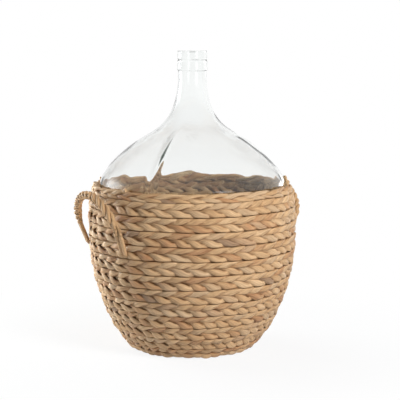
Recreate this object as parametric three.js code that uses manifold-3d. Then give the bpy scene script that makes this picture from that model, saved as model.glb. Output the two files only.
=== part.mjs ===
// Wicker demijohn: an open glass bottle that stands in a twined basket with two rope handles.
// Millimetres, +Z up. The origin is on the floor under the middle of the basket, the left handle on -X.

import * as THREE from 'three';
import { mergeVertices } from 'three/addons/utils/BufferGeometryUtils.js';
import Module from 'manifold-3d';

// Glass bottle
const BOTTLE_RADIUS = 169.5;
const BOTTLE_FOOT_RADIUS = 98;
const GLASS_WALL = 4;
const HEEL_ROUND = 12;
const PUNT_RADIUS = 78;
const PUNT_RISE = 14;
const SIDE_HEIGHT = 65;
const SHOULDER_RISE = 85.5;
const SHOULDER_ROUND = 25;
const SHOULDER_SLOPE = 31;
const SHOULDER_END_RADIUS = 90;
const SHOULDER_SWEEP = 34;
const NECK_RADIUS = 25.7;
const NECK_RISE = 119;
const NECK_SWEEP = 87.5;

// Mouth of the bottle: a collar, a groove and a lip
const COLLAR_RADIUS = 27.3;
const COLLAR_HEIGHT = 18;
const GROOVE_RADIUS = 25.9;
const GROOVE_HEIGHT = 2.5;
const LIP_RADIUS = 26.7;
const LIP_HEIGHT = 15;
const EDGE_ROUND = 2;

// Basket wall
const BELLY_HEIGHT = 235;
const RIM_RISE = 65;
const RIM_TUCK = 24;
const FOOT_FLARE = 45;
const FOOT_SWEEP = 55;
const BELLY_SWEEP = 120;
const ROW_PAIRS = 12;
const ROW_DEPTH = 9.5;
const RIDGE_RELIEF = 3;
const STAKE_COUNT = 40;
const STAKE_WIDTH = 7;
const STAKE_DEPTH = 3.5;
const HUB_MARGIN = 6;
const HUB_CROWN = 1;
const MAT_THICKNESS = 6;
const RIM_BAND = 14.5;
const RIM_WIDTH = 8;
const RIM_ROUND = 3.5;

// Rope handles: the hand-woven right one sits a little round from straight opposite the left one
const LEFT_HANDLE_TURN = 180;
const RIGHT_HANDLE_TURN = 12;
const HANDLE_ROW_COUNT = 17;
const HANDLE_SPREAD_ANGLE = 23;
const HANDLE_RISE = 96;
const HANDLE_SWELL = 34;
const HANDLE_LEAN_ANGLE = 16;
const ROPE_RADIUS = 7;
const KNOT_SWELL = 2.5;
const KNOT_BED = 1.5;

// Clearances: bottle to stakes, bottle to rim, and between pieces that touch
const BELLY_PLAY = 6.7;
const FOOT_PLAY = 5;
const RIM_PLAY = 2;
const SEAT_GAP = 0.3;

// Facets
const BOTTLE_SIDES = 28;
const PUNT_STEPS = 3;
const HEEL_STEPS = 2;
const SIDE_STEPS = 5;
const SHOULDER_STEPS = 5;
const NECK_STEPS = 5;
const STAKE_STEPS = 5;
const ROPE_SIDES = 8;
const ROPE_STEPS = 16;
const KNOT_SIDES = 8;
const KNOT_RINGS = 6;

const radians = THREE.MathUtils.degToRad;
const point = (radius, height) => new THREE.Vector2(radius, height);
const flare = new THREE.Vector2(Math.cos(radians(FOOT_FLARE)), Math.sin(radians(FOOT_FLARE)));
const slope = new THREE.Vector2(-Math.cos(radians(SHOULDER_SLOPE)), Math.sin(radians(SHOULDER_SLOPE)));

// Heights and radii that follow from the sizes above
const wallDepth = ROW_DEPTH + SEAT_GAP + STAKE_DEPTH;
const spokeBottom = MAT_THICKNESS + SEAT_GAP;
const spokeTop = spokeBottom + STAKE_DEPTH;
const seat = spokeTop + SEAT_GAP;
const sideTop = BELLY_HEIGHT + SIDE_HEIGHT;
const shoulderTop = sideTop + SHOULDER_RISE;
const neckTop = shoulderTop + NECK_RISE;
const collarTop = neckTop + COLLAR_HEIGHT;
const lipBottom = collarTop + GROOVE_HEIGHT;
const mouth = lipBottom + LIP_HEIGHT;
const basketHeight = BELLY_HEIGHT + RIM_RISE;
const bellyRadius = BOTTLE_RADIUS + BELLY_PLAY + wallDepth;
const rimRadius = BOTTLE_RADIUS + RIM_PLAY + RIM_WIDTH;
const footRadius = BOTTLE_FOOT_RADIUS + (FOOT_PLAY + wallDepth) / flare.y - seat * flare.x / flare.y;

const glass = new THREE.MeshStandardMaterial({
  color: 0xe3ebe6, roughness: 0.05, metalness: 0, transparent: true, opacity: 0.35,
});
const straw = new THREE.MeshStandardMaterial({ color: 0xc39b70, roughness: 0.8, metalness: 0 });
const darkStraw = new THREE.MeshStandardMaterial({ color: 0xa97c52, roughness: 0.85, metalness: 0 });
const paleStraw = new THREE.MeshStandardMaterial({ color: 0xd6b58c, roughness: 0.8, metalness: 0 });
const rope = new THREE.MeshStandardMaterial({ color: 0xb98a5c, roughness: 0.85, metalness: 0 });

const wasm = await Module();
wasm.setup();

// Closed mesh to solid, for joins and cuts
function toSolid(geometry) {
  const bare = geometry.clone();
  bare.deleteAttribute('normal');
  bare.deleteAttribute('uv');
  const merged = mergeVertices(bare);
  return new wasm.Manifold(new wasm.Mesh({
    numProp: 3,
    vertProperties: new Float32Array(merged.attributes.position.array),
    triVerts: new Uint32Array(merged.index.array),
  }));
}

function fromSolid(solid) {
  const mesh = solid.getMesh();
  const geometry = new THREE.BufferGeometry();
  geometry.setAttribute('position', new THREE.BufferAttribute(mesh.vertProperties, 3));
  geometry.setIndex(new THREE.BufferAttribute(mesh.triVerts, 1));
  geometry.computeVertexNormals();
  return geometry;
}

// Turned piece about the Z axis
function turned(outline, sides) {
  return new THREE.LatheGeometry(outline, sides).rotateX(Math.PI / 2);
}

function piece(name, geometry, material) {
  const mesh = new THREE.Mesh(geometry, material);
  mesh.name = name;
  return mesh;
}

// Point on a curve moved square to it, towards the axis side
function inset(curve, share, depth) {
  const place = curve.getPoint(share);
  const way = curve.getTangent(share);
  return point(place.x - way.y * depth, place.y + way.x * depth);
}

function insetPoints(curve, count, depth) {
  return Array.from({ length: count + 1 }, (_, i) => inset(curve, i / count, depth));
}

// Bottle side from the heel to the belly, in the same sweep as the basket wall
function sideCurve(footPoint, footSweep, radius) {
  const lift = footPoint.clone().addScaledVector(flare, footSweep);
  const top = point(radius, BELLY_HEIGHT);
  return new THREE.CubicBezierCurve(footPoint, lift, point(radius, BELLY_HEIGHT - BELLY_SWEEP), top);
}

function bottleOutline() {
  const heel = point(BOTTLE_FOOT_RADIUS, seat).addScaledVector(flare, HEEL_ROUND);
  const side = sideCurve(heel, FOOT_SWEEP - HEEL_ROUND, BOTTLE_RADIUS);
  const breakPoint = point(SHOULDER_END_RADIUS, shoulderTop);
  const shoulder = new THREE.CubicBezierCurve(
    point(BOTTLE_RADIUS, sideTop),
    point(BOTTLE_RADIUS, sideTop + SHOULDER_ROUND),
    breakPoint.clone().addScaledVector(slope, -SHOULDER_SWEEP),
    breakPoint,
  );
  const neck = new THREE.CubicBezierCurve(
    breakPoint,
    breakPoint.clone().addScaledVector(slope, SHOULDER_SWEEP),
    point(NECK_RADIUS, neckTop - NECK_SWEEP),
    point(NECK_RADIUS, neckTop),
  );
  const foot = (rise) => {
    const corner = BOTTLE_FOOT_RADIUS - rise * Math.tan(radians(FOOT_FLARE / 2));
    const dome = new THREE.QuadraticBezierCurve(
      point(0, seat + PUNT_RISE + rise),
      point(PUNT_RADIUS / 2, seat + PUNT_RISE + rise),
      point(PUNT_RADIUS, seat + rise),
    );
    const round = new THREE.QuadraticBezierCurve(
      point(corner - HEEL_ROUND, seat + rise),
      point(corner, seat + rise),
      inset(side, 0, rise),
    );
    return [...dome.getPoints(PUNT_STEPS), ...round.getPoints(HEEL_STEPS)];
  };
  const skin = (depth) => [
    ...foot(depth),
    ...insetPoints(side, SIDE_STEPS, depth).slice(1),
    ...insetPoints(shoulder, SHOULDER_STEPS, depth),
    ...insetPoints(neck, NECK_STEPS, depth).slice(1),
  ];
  const bore = NECK_RADIUS - GLASS_WALL;
  const finish = [
    point(COLLAR_RADIUS, neckTop + EDGE_ROUND),
    point(COLLAR_RADIUS, collarTop - EDGE_ROUND),
    point(GROOVE_RADIUS, collarTop),
    point(GROOVE_RADIUS, lipBottom),
    point(LIP_RADIUS, lipBottom + EDGE_ROUND / 2),
    point(LIP_RADIUS, mouth - EDGE_ROUND),
    point(LIP_RADIUS - EDGE_ROUND, mouth),
    point(bore + EDGE_ROUND / 2, mouth),
    point(bore, mouth - EDGE_ROUND / 2),
  ];
  return [...skin(0), ...finish, ...skin(GLASS_WALL).reverse()];
}

// Outer line of the basket wall, from the floor over the belly to the rim
const wall = new THREE.CurvePath();
wall.add(sideCurve(point(footRadius, 0), FOOT_SWEEP, bellyRadius));
wall.add(new THREE.QuadraticBezierCurve(
  point(bellyRadius, BELLY_HEIGHT),
  point(bellyRadius, basketHeight - RIM_TUCK),
  point(rimRadius, basketHeight),
));
const wallLength = wall.getLength();
const rowPitch = (wallLength - RIM_BAND) / (2 * ROW_PAIRS);

// Point at a length along the wall and a depth below its outer line
function wallPoint(along, depth) {
  const share = THREE.MathUtils.clamp(along / wallLength, 0, 1);
  const place = wall.getPointAt(share);
  const way = wall.getTangentAt(share);
  return point(place.x - way.y * depth, place.y + way.x * depth);
}

// One twined row: thick at the ridge in the middle of its pair, thin at the seam to the next pair
function rowOutline(index) {
  const low = index * rowPitch;
  const high = low + rowPitch - SEAT_GAP;
  const ridgeOnTop = index % 2 === 0;
  const lowDepth = ridgeOnTop ? RIDGE_RELIEF : 0;
  const highDepth = ridgeOnTop ? 0 : RIDGE_RELIEF;
  return [
    wallPoint(low, lowDepth),
    wallPoint(high, highDepth),
    wallPoint(high, ROW_DEPTH),
    wallPoint(low, ROW_DEPTH),
    wallPoint(low, lowDepth),
  ];
}

// Border that closes the wall over the last row and the stake ends
function rimOutline() {
  const low = wallLength - RIM_BAND;
  return [
    wallPoint(low, RIDGE_RELIEF / 2),
    wallPoint(low + RIM_BAND / 2, 0),
    wallPoint(wallLength - RIM_ROUND, 0),
    wallPoint(wallLength, RIM_ROUND),
    wallPoint(wallLength, RIM_WIDTH - RIM_ROUND),
    wallPoint(wallLength - RIM_ROUND, RIM_WIDTH),
    wallPoint(low, wallDepth),
    wallPoint(low, RIDGE_RELIEF / 2),
  ];
}

// Woven mat under the spokes, its edge leaning along the first row
function matOutline() {
  const edge = footRadius - 2 * SEAT_GAP;
  return [
    point(0, 0),
    point(edge, 0),
    point(edge - MAT_THICKNESS * flare.y / flare.x, MAT_THICKNESS),
    point(0, MAT_THICKNESS),
  ];
}

// Stake: a spoke over the mat that bends up and follows the inside of the rows to the border.
// Its back lies flat on one side of the many-sided rows.
function stakeOutline(hubRadius) {
  const top = wallLength - RIM_BAND - SEAT_GAP;
  const flat = Math.cos(Math.PI / STAKE_COUNT);
  const line = (depth, height) => {
    const bend = footRadius - depth / flare.y + height * flare.x / flare.y;
    const rise = Array.from({ length: STAKE_STEPS }, (_, i) => (
      wallPoint(top * (i + 1) / STAKE_STEPS, depth)
    ));
    return [point(hubRadius, height), point(bend, height), ...rise];
  };
  const under = line(ROW_DEPTH + SEAT_GAP, spokeBottom);
  const over = line(wallDepth, spokeTop).reverse();
  return [...under, ...over].map((p) => point(p.x * flat, p.y));
}

function stakes() {
  const hubRadius = STAKE_COUNT * STAKE_WIDTH / (2 * Math.PI) + HUB_MARGIN;
  const hub = turned([
    point(0, spokeBottom),
    point(hubRadius, spokeBottom),
    point(hubRadius, spokeTop + HUB_CROWN),
    point(0, spokeTop + HUB_CROWN),
  ], STAKE_COUNT);
  const outline = new THREE.Shape(stakeOutline(hubRadius - HUB_MARGIN));
  const stake = new THREE.ExtrudeGeometry(outline, { depth: STAKE_WIDTH, bevelEnabled: false });
  stake.translate(0, 0, -STAKE_WIDTH / 2).rotateX(Math.PI / 2);
  let frame = toSolid(hub);
  for (let i = 0; i < STAKE_COUNT; i += 1) {
    const turn = (i + 0.5) * 2 * Math.PI / STAKE_COUNT - Math.PI / 2;
    frame = frame.add(toSolid(stake.clone().rotateZ(turn)));
  }
  return fromSolid(frame);
}

// Where a handle enters the wall, on a ridge or at a seam above its count of rows
const knotRadius = ROPE_RADIUS + KNOT_SWELL;
const rootRelief = HANDLE_ROW_COUNT % 2 === 0 ? RIDGE_RELIEF : 0;
const rootLine = wallPoint(HANDLE_ROW_COUNT * rowPitch, rootRelief + KNOT_BED - knotRadius);
const rootReach = rootLine.x * Math.cos(radians(HANDLE_SPREAD_ANGLE));
const rootSpread = rootLine.x * Math.sin(radians(HANDLE_SPREAD_ANGLE));
const root = (end) => new THREE.Vector3(rootReach, end * rootSpread, rootLine.y);
const handleTurns = { left: radians(LEFT_HANDLE_TURN), right: radians(RIGHT_HANDLE_TURN) };

// Ball about one root of a handle that faces +X, with its poles on the hinge line
function rootBall(end, radius) {
  return new THREE.SphereGeometry(radius, KNOT_SIDES, KNOT_RINGS).translate(...root(end).toArray());
}

// Rope arch of a handle that faces +X, in a plane that leans out from the wall, with swollen ends.
// The arch reaches three quarters of the way to its two pull points.
function handle() {
  const lean = radians(HANDLE_LEAN_ANGLE);
  const leanOut = new THREE.Vector3(Math.sin(lean), 0, Math.cos(lean));
  const pull = (end) => root(end)
    .addScaledVector(leanOut, HANDLE_RISE * 4 / 3)
    .add(new THREE.Vector3(0, end * HANDLE_SWELL, 0));
  const arch = new THREE.CubicBezierCurve3(root(-1), pull(-1), pull(1), root(1));
  const section = new THREE.Shape(Array.from({ length: ROPE_SIDES }, (_, i) => {
    const turn = i * 2 * Math.PI / ROPE_SIDES;
    return point(ROPE_RADIUS * Math.cos(turn), ROPE_RADIUS * Math.sin(turn));
  }));
  const tube = new THREE.ExtrudeGeometry(section, { extrudePath: arch, steps: ROPE_STEPS });
  const ends = [-1, 1].map((end) => toSolid(rootBall(end, knotRadius)));
  return fromSolid(ends.reduce((solid, ball) => solid.add(ball), toSolid(tube)));
}

// Pockets in the weave for the four rope ends, wide enough for the corners of an end that turns
const pocketRadius = (knotRadius + SEAT_GAP) / Math.cos(Math.PI / KNOT_SIDES);
const pockets = Object.values(handleTurns).flatMap((turn) => (
  [-1, 1].map((end) => toSolid(rootBall(end, pocketRadius).rotateZ(turn)))
));

// Row ring, with the pockets where the handles enter
function row(index) {
  const ring = turned(rowOutline(index), STAKE_COUNT);
  const meetsHandles = index === HANDLE_ROW_COUNT - 1 || index === HANDLE_ROW_COUNT;
  if (!meetsHandles) {
    return ring;
  }
  return fromSolid(pockets.reduce((solid, pocket) => solid.subtract(pocket), toSolid(ring)));
}

const demijohn = new THREE.Group();
demijohn.add(piece('glass_bottle', turned(bottleOutline(), BOTTLE_SIDES), glass));
demijohn.add(piece('base_mat', turned(matOutline(), STAKE_COUNT), darkStraw));
demijohn.add(piece('stakes', stakes(), paleStraw));
for (let i = 0; i < 2 * ROW_PAIRS; i += 1) {
  demijohn.add(piece(`weft_row_${String(i + 1).padStart(2, '0')}`, row(i), straw));
}
demijohn.add(piece('rim_border', turned(rimOutline(), STAKE_COUNT), straw));
for (const [side, turn] of Object.entries(handleTurns)) {
  demijohn.add(piece(`handle_${side}`, handle().rotateZ(turn), rope));
}

export default demijohn;
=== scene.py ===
import math

import bpy
from bpy.props import FloatProperty, FloatVectorProperty, IntProperty, PointerProperty
from mathutils import Matrix, Vector, noise


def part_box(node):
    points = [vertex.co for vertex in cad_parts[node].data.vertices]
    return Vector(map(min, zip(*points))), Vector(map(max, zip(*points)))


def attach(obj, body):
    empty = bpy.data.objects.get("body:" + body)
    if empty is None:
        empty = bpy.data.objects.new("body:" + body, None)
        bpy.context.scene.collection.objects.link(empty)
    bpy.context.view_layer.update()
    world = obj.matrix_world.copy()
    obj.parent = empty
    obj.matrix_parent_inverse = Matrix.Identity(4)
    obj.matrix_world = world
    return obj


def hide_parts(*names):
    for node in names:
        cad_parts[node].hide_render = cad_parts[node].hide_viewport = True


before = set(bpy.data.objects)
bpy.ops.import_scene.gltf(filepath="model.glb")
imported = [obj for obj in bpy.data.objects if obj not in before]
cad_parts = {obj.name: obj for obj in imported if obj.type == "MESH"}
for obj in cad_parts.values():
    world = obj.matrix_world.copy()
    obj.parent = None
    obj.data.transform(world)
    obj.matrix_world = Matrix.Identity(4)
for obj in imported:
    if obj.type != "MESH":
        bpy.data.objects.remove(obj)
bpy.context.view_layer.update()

bl_info = {
    "name": "Wicker demijohn",
    "version": (1, 0, 0),
    "blender": (4, 5, 0),
    "location": "3D View > Sidebar > Demijohn",
    "description": "Glass demijohn in a twined straw basket with two rope handles",
    "category": "Add Mesh",
}

SENSOR_WIDTH = 36.0
FLOOR_HALF = 6.0
STAKE_COUNT = 40
WALL_ROWS = 24
ROWS_PER_PIECE = 6
POINTS_PER_STAKE = 10
WALL_SAMPLES = 240
ARCH_STEPS = 60
WHITE = (1.0, 1.0, 1.0)
BLACK = (0.0, 0.0, 0.0)

# Steps along the parts of the bottle's outline
PUNT_STEPS, HEEL_STEPS, SIDE_STEPS, SHOULDER_STEPS, NECK_STEPS, EDGE_STEPS = 10, 8, 24, 28, 30, 4

# What the draws of the rim, the base, the stakes and the ropes add to the basket's seed
RIM_SEED, BASE_SEED, STAKE_SEED, ROPE_SEED = 20, 40, 60, 80

# Lengths along the wall where its swelling rises and falls, and where the spread of the foot ends
SWELL_RISE, SWELL_FALL, FOOT_REACH = (0.09, 0.15), (0.26, 0.20), (0.03, 0.0)

# Sizes of the basket that the tree of the twined rows takes
TWINED_SIZES = (
    "Strand Width", "Strand Depth", "Swing Out", "Climb", "Skew", "Unevenness", "Groove", "Drift",
)

# What draws out the twist: waves round the basket, their size and their step from row to row
TWIST_WAVES = ((3.0, 0.16, 2.1), (7.0, 0.11, 4.3))

# Steps that give every lobe of every strand its own number
STRAND_STEP, ROW_STEP = 53.0, 211.0

# Girth of a strand at a stake, its gain on the face, and the least and most drawn for one lobe
STAKE_GIRTH, FACE_GAIN, LOBE_DRAW = 0.94, 0.08, (-0.13, 0.12)

# Distances out from a row's middle where the groove starts and is full, and how far the rows lap
# behind the face and on the side without a groove
FACE_START, FACE_END, BACK_LAP, FRONT_LAP = -0.0015, 0.0010, 0.0025, 0.0004

# Shift of the fibres from lobe to lobe, and the force that keeps a strand in its row
LOBE_SHIFT, SQUEEZE = 0.37, 4.0

# Thinning of a strand's section towards its edges in the wall and the rope; facets of plain straw
WALL_THINNING, ROPE_THINNING, STRAW_FACETS = 0.4, 0.15, 8

# Size and places of the two noises that the weave wanders by
DRIFT_SCALE, DRIFT_PLACES = 16.0, ((3.0, 8.0, 1.0), (17.0, 2.0, 9.0))

# Base mat: its rows, radius of the first, gap from the last to the foot, reach above the underside
# of the spokes, number of its first row, and half turns of a row by the radius it lies beyond
BASE_ROWS, BASE_INNER, BASE_GAP, BASE_COVER, FIRST_BASE_ROW = 12, 0.0045, 0.0098, 0.0035, 40
BASE_COLUMNS = ((0.07, 40), (0.034, 20), (0.0, 10))

# Spokes under the bottle: radii of their points, what lifts them over half the height of the
# solid's underside, and steps of a stake up the wall
SPOKE_MARKS, SPOKE_RISE, STAKE_STEPS = (0.03, 0.06, 0.09), 0.0017, 40

# Where the two legs of a rope turn flat, by share of its path, and how its twist tightens
LEG_SPANS, TWIST_EASE = ((0.25, 0.12), (0.77, 0.91)), 1.35

# Rope: how far out its strands lie, their breadth, the range of their tones, and what lying flat
# adds to the depth and the breadth of the lay and to the girth of a strand
ROPE_LAY, ROPE_BREADTH, ROPE_TONES = 0.6, 1.12, (0.1, 0.75)
FLAT_DEPTH, FLAT_BREADTH, FLAT_GIRTH = -0.75, 0.3, -0.04

# Shares of a rope's tail where it starts to sink into the weave and where it is sunk
SINK_START, SINK_END = 0.35, 0.9

# Straw: steps of fibres and patches along, through and across a strand, and jumps between lobes
FIBRES, FIBRE_JUMPS = (38.0, 2.6, 4.6), (31.0, 17.0)
PATCHES, PATCH_JUMP = (60.0, 0.8, 0.8), 9.0

# Draws above which a lobe is dark or weathered, and how much weathering and fibres show
DARK_FROM, GREY_FROM, GREY_SHARE, FIBRE_SHARE = 0.985, 0.8, 0.4, 0.85

# Straw ends that stand on the rim: turn in degrees, rise, lean outward and sweep round
LOOSE_ENDS = (
    (-28.0, 0.0115, -0.003, 0.004),
    (-36.0, 0.0025, 0.002, 0.010),
    (138.0, 0.0045, 0.003, -0.004),
    (197.0, 0.0020, 0.003, 0.011),
)
END_ROOT, END_STEPS = 0.008, 6


def number(name, default, description, **extra):
    """A plain number, or one of the kind that the extra options say."""
    return FloatProperty(name=name, default=default, description=description, **extra)


def length(name, default, description):
    """A size in metres."""
    return number(name, default, description, unit="LENGTH", precision=4)


def angle(name, degrees, description):
    """An angle, shown in degrees."""
    return number(name, math.radians(degrees), description, subtype="ANGLE")


def share(name, default, description):
    """A part of one whole."""
    return number(name, default, description, min=0.0, max=1.0, subtype="FACTOR")


def lamp_power(name, default, description):
    """Power of a lamp in watts."""
    return number(name, default, description, unit="POWER")


def colour(name, default, description):
    """A linear colour."""
    return FloatVectorProperty(
        name=name, description=description, default=default, size=3, min=0.0, max=1.0,
        subtype="COLOR",
    )


class DemijohnBottle(bpy.types.PropertyGroup):
    """Sizes of the glass bottle."""

    radius: length("Radius", 0.1695, "Radius of the bottle at its belly")
    foot_radius: length("Foot radius", 0.098, "Radius of the flat foot")
    wall: length("Glass wall", 0.004, "Thickness of the glass")
    heel_round: length("Heel round", 0.012, "Rounding between the foot and the side")
    punt_radius: length("Punt radius", 0.078, "Radius of the hollow under the foot")
    punt_rise: length("Punt rise", 0.014, "Height of the hollow under the foot")
    side_height: length("Side height", 0.065, "Straight side above the belly line")
    shoulder_rise: length("Shoulder rise", 0.0855, "Height of the rounded shoulder")
    shoulder_round: length("Shoulder round", 0.025, "Reach of the bend into the shoulder")
    shoulder_slope: angle("Shoulder slope", 31.0, "Slope where the shoulder turns to the neck")
    shoulder_end: length("Shoulder end", 0.09, "Radius where the shoulder turns to the neck")
    shoulder_sweep: length("Shoulder sweep", 0.034, "Reach of the curve at that turn")
    neck_radius: length("Neck radius", 0.0257, "Radius of the neck")
    neck_rise: length("Neck rise", 0.119, "Height from the shoulder's turn to the collar")
    neck_sweep: length("Neck sweep", 0.0875, "Reach of the curve up the neck")
    collar_radius: length("Collar radius", 0.0273, "Radius of the lower ring of the mouth")
    collar_height: length("Collar height", 0.018, "Height of the lower ring")
    groove_radius: length("Groove radius", 0.0259, "Radius between the two rings")
    groove_height: length("Groove height", 0.0025, "Height of the groove between the rings")
    lip_radius: length("Lip radius", 0.0267, "Radius of the upper ring of the mouth")
    lip_height: length("Lip height", 0.015, "Height of the upper ring")
    edge_round: length("Edge round", 0.002, "Rounding of the ring edges")
    sides: IntProperty(name="Sides", description="Facets round the glass", default=288, min=24)
    seam_turn: angle("Seam turn", 216.0, "Where the mould seam runs down the shoulder")
    seam_width: length("Seam width", 0.013, "Half the breadth of the mould seam")
    seam_depth: length("Seam depth", 0.0024, "How far the mould seam is drawn in")
    wave_depth: length("Wave depth", 0.001, "How deep the waves of the blown glass are")
    wave_length: length("Wave length", 0.031, "How far apart the waves of the blown glass are")
    # The streak on the seam is a painted dark glint
    streak_width: length("Streak width", 0.0044, "Half the breadth of the green streak on the seam")
    streak_low: length("Streak foot", 0.343, "Height of the lower end of the streak")
    streak_high: length("Streak top", 0.393, "Height of the upper end of the streak")


class DemijohnBasket(bpy.types.PropertyGroup):
    """Sizes of the basket and its straw strands."""

    belly_radius: length("Belly radius", 0.1895, "Outer radius of the wall at the belly")
    belly_height: length("Belly height", 0.235, "Height of the widest line")
    rim_radius: length("Rim radius", 0.1795, "Outer radius at the rim")
    rim_rise: length("Rim rise", 0.065, "Height of the rim above the belly")
    rim_tuck: length("Rim tuck", 0.024, "How far below the rim the wall turns in")
    foot_radius: length("Foot radius", 0.11378, "Outer radius of the wall on the floor")
    foot_flare: angle("Foot flare", 45.0, "Lean of the wall at the floor")
    foot_sweep: length("Foot sweep", 0.055, "Reach of the curve up from the floor")
    belly_sweep: length("Belly sweep", 0.12, "Reach of the curve down from the belly")
    rim_band: length("Rim band", 0.0145, "Height of the border at the rim")
    wall_depth: length("Wall depth", 0.0133, "Thickness of the wall with its stakes")
    row_bed: length("Row bed", 0.0052, "Depth of the rows' middle below the face of the wall")
    fullness: length("Fullness", 0.0018, "How far the rows swell out below the belly")
    foot_spread: length("Foot spread", 0.0024, "How far the lowest rows spread on the floor")
    strand_width: length("Strand width", 0.0154, "Width of a straw strand in the wall")
    strand_depth: length("Strand depth", 0.0062, "Thickness of a straw strand in the wall")
    swing_out: length("Swing out", 0.0027, "How far a strand passes out and in round a stake")
    climb: share("Climb", 0.93, "Share of its row that a strand climbs or falls at a stake")
    skew: angle("Skew", 30.0, "How late on its climb a strand is outermost")
    stake_width: length("Stake width", 0.0062, "Width of a flat stake")
    stake_depth: length("Stake depth", 0.0024, "Thickness of a flat stake")
    stake_bed: length("Stake bed", 0.0062, "Depth of the stakes below the face of the wall")
    unevenness: length("Unevenness", 0.0011, "How far single strands wander from their row")
    groove: length("Groove", 0.0006, "Half the groove left between two plaits")
    drift: length("Drift", 0.0045, "How far the whole weave wanders")
    lower_share: share("Lower share", 0.54, "Share of a plait that its lower row takes")
    seed: IntProperty(name="Seed", description="Draw of the uneven strands", default=7, min=0)


class DemijohnHandles(bpy.types.PropertyGroup):
    """Sizes of the two rope handles."""

    left_turn: angle("Left turn", 180.0, "Where the left handle sits round the basket")
    right_turn: angle("Right turn", 12.0, "Where the right handle sits round the basket")
    reach: length("Reach", 0.18065, "Distance of the two roots' line from the axis")
    spread: length("Spread", 0.07668, "Half the distance between the roots")
    root_height: length("Root height", 0.19731, "Height of the roots")
    rise: length("Rise", 0.096, "Height of the arch above its roots")
    swell: length("Swell", 0.034, "How far the arch swells past its roots")
    lean: angle("Lean", 16.0, "Lean of the arch away from the wall")
    rope_radius: length("Rope radius", 0.007, "Radius of the rope")
    tail: length("Tail", 0.0075, "How far the ends run on below the roots")
    lie: length("Lie", 0.004, "How far the legs lie in towards the wall")
    sink: length("Sink", 0.010, "How far the ends sink into the weave")
    turns: number("Turns", 5.2, "Turns of the strands over the arch", min=0.0)


class DemijohnFinish(bpy.types.PropertyGroup):
    """Colours of the glass and the straw."""

    glass: colour("Glass", (0.78, 0.87, 0.82), "Colour that thick glass takes on")
    # Colour of the painted dark glint on the mould seam
    streak: colour("Streak", (0.05, 0.08, 0.06), "Green streak on the mould seam")
    glass_depth: number("Glass depth", 8.0, "How fast the glass takes on its colour")
    straw_dark: colour("Dark straw", (0.20, 0.095, 0.04), "Darkest straw strands")
    straw_red: colour("Red straw", (0.44, 0.235, 0.115), "Reddish straw strands")
    straw_mid: colour("Straw", (0.545, 0.345, 0.18), "Common straw colour")
    straw_pale: colour("Pale straw", (0.66, 0.455, 0.265), "Palest straw strands")
    straw_grey: colour("Grey straw", (0.52, 0.39, 0.26), "Weathered straw strands")


class DemijohnStage(bpy.types.PropertyGroup):
    """Camera, light and floor."""

    distance: length("Camera distance", 2.15, "Level distance from the axis to the camera")
    height: length("Camera height", 0.55, "Height of the camera above the floor")
    heading: angle("Camera heading", 241.0, "Where the camera stands round the bottle")
    pitch: angle("Camera pitch", 7.473, "Tilt of the camera below level")
    yaw: angle("Camera yaw", 0.373, "Turn of the camera to the right of the axis")
    focal: number("Focal length", 106.3, "Lens on a 36 mm sensor", min=1.0)
    floor: colour("Floor", (0.82, 0.82, 0.82), "Colour of the floor")
    ambient: number("Ambient", 0.03, "Light of the white surroundings", min=0.0)
    dark_wall: share("Dark wall", 0.62, "Light of the dark side of the room")
    dark_turn: angle("Dark turn", -60.0, "Where the dark side is, round from the camera")
    key_power: lamp_power("Key power", 110.0, "Lamp at the front right")
    left_power: lamp_power("Left power", 80.0, "Wide lamp at the left")
    left_card: lamp_power("Left card", 50.0, "Low card that the left of the glass shows")
    right_card: lamp_power("Right card", 7.0, "Low card that the right of the glass shows")
    neck_card: lamp_power("Neck card", 6.0, "Card that the neck shows")


def settings():
    """The five groups of values on the scene."""
    return [getattr(bpy.context.scene, key) for key in GROUPS]


# Outlines, as points of radius and height


def eased(value, start, end):
    """Smooth rise from nought at the start to one at the end."""
    t = min(1.0, max(0.0, (value - start) / (end - start)))
    return t * t * (3.0 - 2.0 * t)


def bezier(points, t):
    """Point and direction at t on a curve with three or four control points."""
    level = [Vector(p) for p in points]
    while len(level) > 2:
        level = [a.lerp(b, t) for a, b in zip(level, level[1:])]
    return level[0].lerp(level[1], t), (level[1] - level[0]).normalized()


def bezier_line(points, steps, depth=0.0):
    """Points along a curve, moved square to it towards the axis side."""
    line = []
    for i in range(steps + 1):
        place, way = bezier(points, i / steps)
        line.append(Vector((place.x - way.y * depth, place.y + way.x * depth)))
    return line


class WallLine:
    """Outer line of the basket wall, by length from the floor to the rim."""

    def __init__(self, basket):
        flare = Vector((math.cos(basket.foot_flare), math.sin(basket.foot_flare)))
        foot = Vector((basket.foot_radius, 0.0))
        belly = Vector((basket.belly_radius, basket.belly_height))
        top = basket.belly_height + basket.rim_rise
        lower = (
            foot,
            foot + flare * basket.foot_sweep,
            (basket.belly_radius, basket.belly_height - basket.belly_sweep),
            belly,
        )
        upper = (belly, (basket.belly_radius, top - basket.rim_tuck), (basket.rim_radius, top))
        self.points = bezier_line(lower, WALL_SAMPLES) + bezier_line(upper, WALL_SAMPLES)[1:]
        self.marks = [0.0]
        for a, b in zip(self.points, self.points[1:]):
            self.marks.append(self.marks[-1] + (b - a).length)
        self.length = self.marks[-1]

    def at(self, along, depth):
        """Radius, height and lean at a length along the wall and a depth below its face."""
        last = len(self.points) - 2
        i = next((k for k in range(last) if self.marks[k + 1] >= along), last)
        way = (self.points[i + 1] - self.points[i]).normalized()
        place = self.points[i] + way * (along - self.marks[i])
        return place.x - way.y * depth, place.y + way.x * depth, math.atan2(way.x, way.y)


# Node trees


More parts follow.
